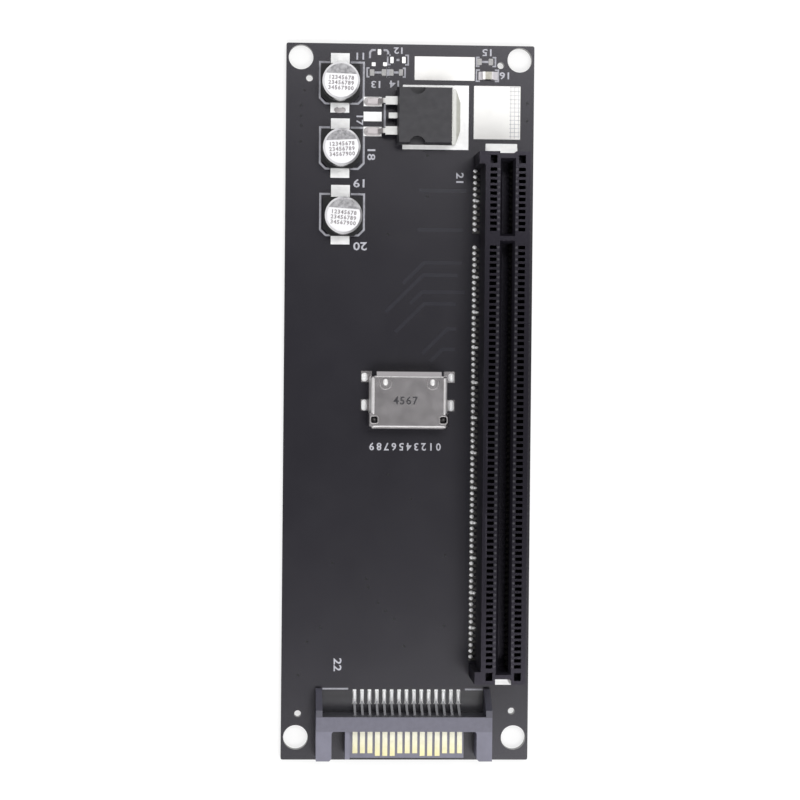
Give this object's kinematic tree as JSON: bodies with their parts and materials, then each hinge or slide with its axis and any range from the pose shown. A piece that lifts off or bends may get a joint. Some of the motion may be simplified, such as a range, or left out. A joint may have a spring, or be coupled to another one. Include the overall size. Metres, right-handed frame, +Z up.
{
  "type": "card slot adapter board",
  "caption": "Long flat adapter circuit board with a full-length card edge slot, a low metal cable port in the middle, an edge power plug, a voltage regulator and can capacitors.",
  "frame": {"origin": "centre of the board's outline, on its underside", "axes": "+Z up out of the component side, +Y along the board away from the power plug, +X towards the card slot"},
  "size_m": [0.0424, 0.1222, 0.0128],
  "materials": {
    "board_mask": "black solder mask over glass-fibre laminate",
    "tinned_land": "tinned copper",
    "slot_plastic": "black moulded, fine grain",
    "contact_tin": "tin-plated spring alloy",
    "contact_gold": "gold-plated",
    "port_sheet": "satin plated sheet",
    "port_plastic": "black moulded",
    "plug_plastic": "black moulded",
    "can_metal": "drawn, bright",
    "can_base_plastic": "black moulded",
    "regulator_mould": "black moulded",
    "tab_metal": "tinned copper plate",
    "chip_ceramic": "fired, matte"
  },
  "bodies": {
    "root": {"circuit_board": "board_mask", "solder_lands": "tinned_land", "card_slot_housing": "slot_plastic", "card_slot_contacts_left": "contact_tin", "card_slot_contacts_right": "contact_tin", "card_slot_hold_downs": "contact_tin", "cable_port_shell": "port_sheet", "cable_port_insulator": "port_plastic", "cable_port_contacts_upper": "contact_gold", "cable_port_contacts_lower": "contact_gold", "power_plug_housing": "plug_plastic", "power_plug_contacts": "contact_gold", "regulator_body": "regulator_mould", "regulator_tab": "tab_metal", "regulator_leads": "contact_tin", "chip_capacitor_body": "chip_ceramic", "chip_capacitor_ends": "tinned_land", "capacitor_can_1": "can_metal", "capacitor_base_1": "can_base_plastic", "capacitor_leads_1": "contact_tin", "capacitor_can_2": "can_metal", "capacitor_base_2": "can_base_plastic", "capacitor_leads_2": "contact_tin", "capacitor_can_3": "can_metal", "capacitor_base_3": "can_base_plastic", "capacitor_leads_3": "contact_tin"}
  },
  "joints": []
}
